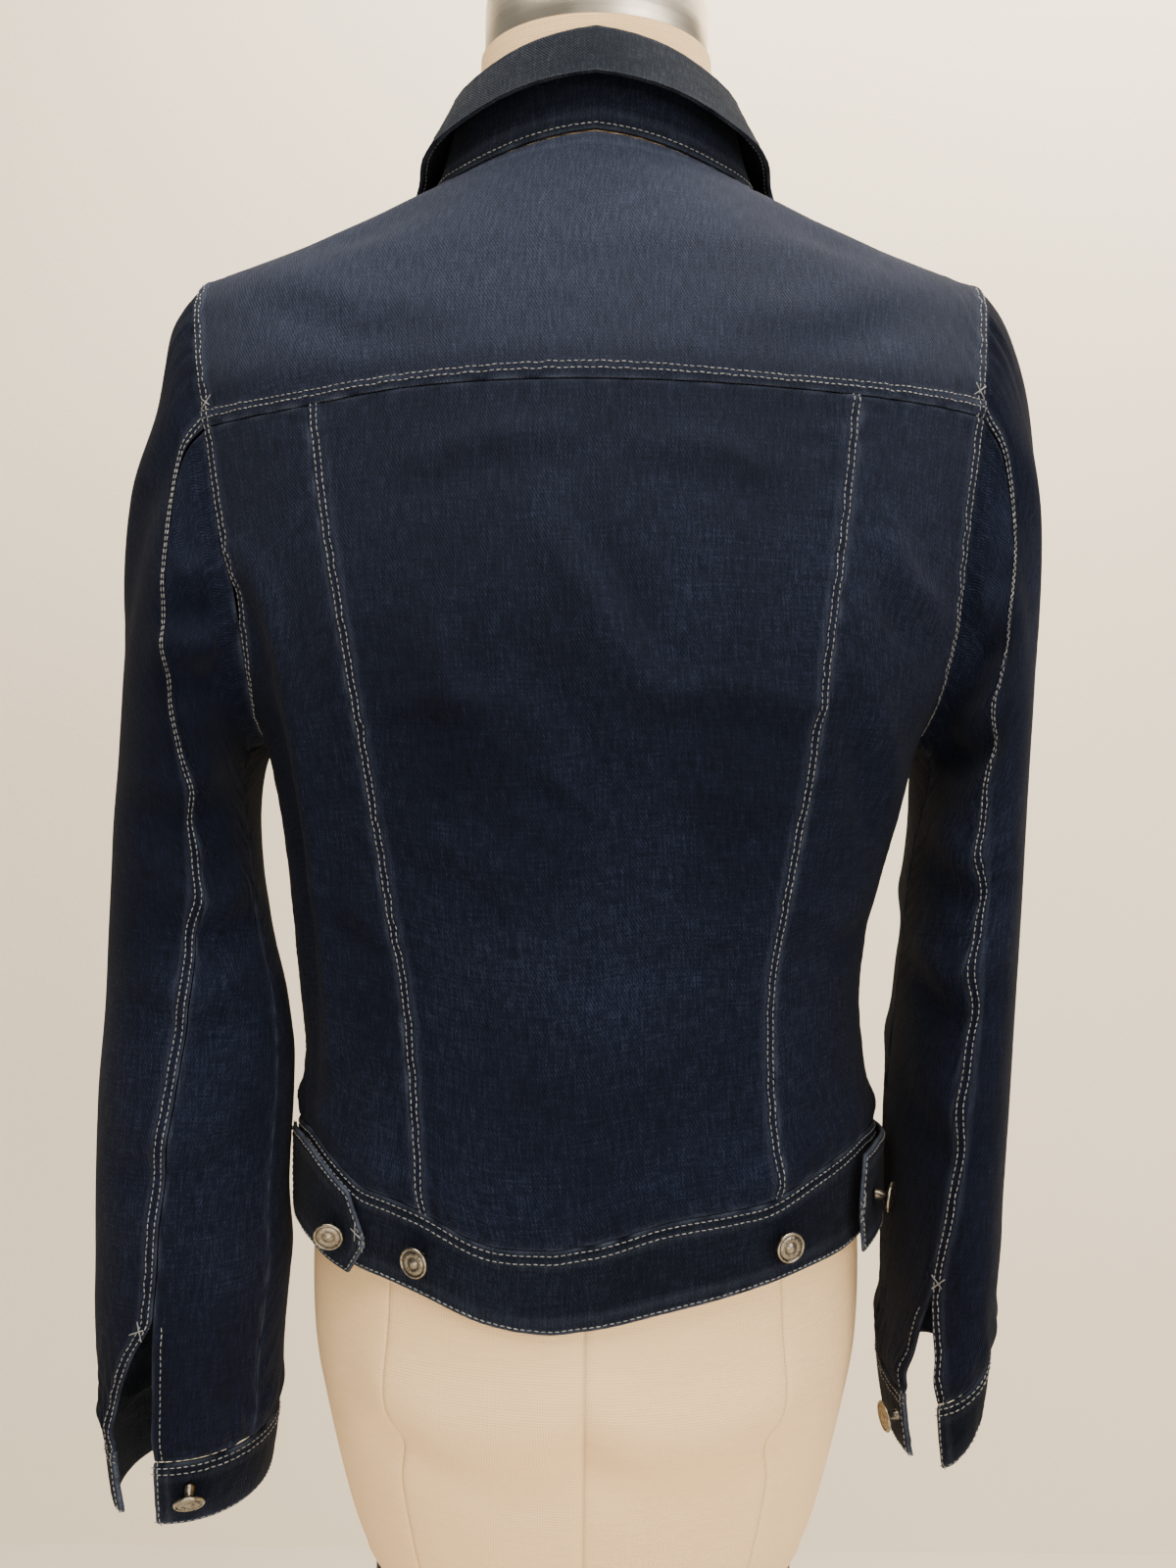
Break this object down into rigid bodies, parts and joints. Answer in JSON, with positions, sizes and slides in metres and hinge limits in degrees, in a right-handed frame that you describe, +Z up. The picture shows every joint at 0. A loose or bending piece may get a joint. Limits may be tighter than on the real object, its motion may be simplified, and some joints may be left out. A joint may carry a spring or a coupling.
{
  "type": "denim jacket on a limbless dress form with its stand",
  "caption": "Women's fitted denim jacket with yoke, princess seams and tabbed waistband, shown on a limbless canvas dress form.",
  "frame": {"origin": "middle of the round base's underside, on the pole's axis, where the stand rests on the floor", "axes": "+Z up; the jacket's front faces -Y, its back faces +Y, and the wearer's left is +X"},
  "size_m": [0.472, 0.38, 1.4423],
  "materials": {
    "denim": "dark indigo stretch denim, matt with a slight sheen",
    "button_metal": "antique nickel",
    "canvas": "natural linen canvas",
    "cap_steel": "brushed stainless steel",
    "stand_iron": "black enamel"
  },
  "bodies": {
    "root": {"back_yoke": "denim", "centre_back": "denim", "side_back_left": "denim", "side_back_right": "denim", "front_left": "denim", "front_right": "denim", "front_placket": "denim", "waistband": "denim", "collar": "denim", "sleeve_upper_left": "denim", "sleeve_upper_right": "denim", "sleeve_under_left": "denim", "sleeve_under_right": "denim", "cuff_left": "denim", "cuff_right": "denim", "tab_left": "denim", "tab_right": "denim", "button_tab_left": "button_metal", "button_tab_right": "button_metal", "button_spare_left": "button_metal", "button_spare_right": "button_metal", "button_cuff_left": "button_metal", "button_cuff_right": "button_metal", "button_front_1": "button_metal", "button_front_2": "button_metal", "button_front_3": "button_metal", "button_front_4": "button_metal", "button_front_5": "button_metal", "form_torso": "canvas", "form_neck": "canvas", "neck_cap": "cap_steel", "cage_hoop_1": "stand_iron", "cage_hoop_2": "stand_iron", "cage_hoop_3": "stand_iron", "cage_wire_1": "stand_iron", "cage_wire_2": "stand_iron", "cage_wire_3": "stand_iron", "cage_wire_4": "stand_iron", "cage_wire_5": "stand_iron", "cage_wire_6": "stand_iron", "cage_wire_7": "stand_iron", "cage_wire_8": "stand_iron", "pole": "stand_iron", "base": "stand_iron"}
  },
  "joints": []
}
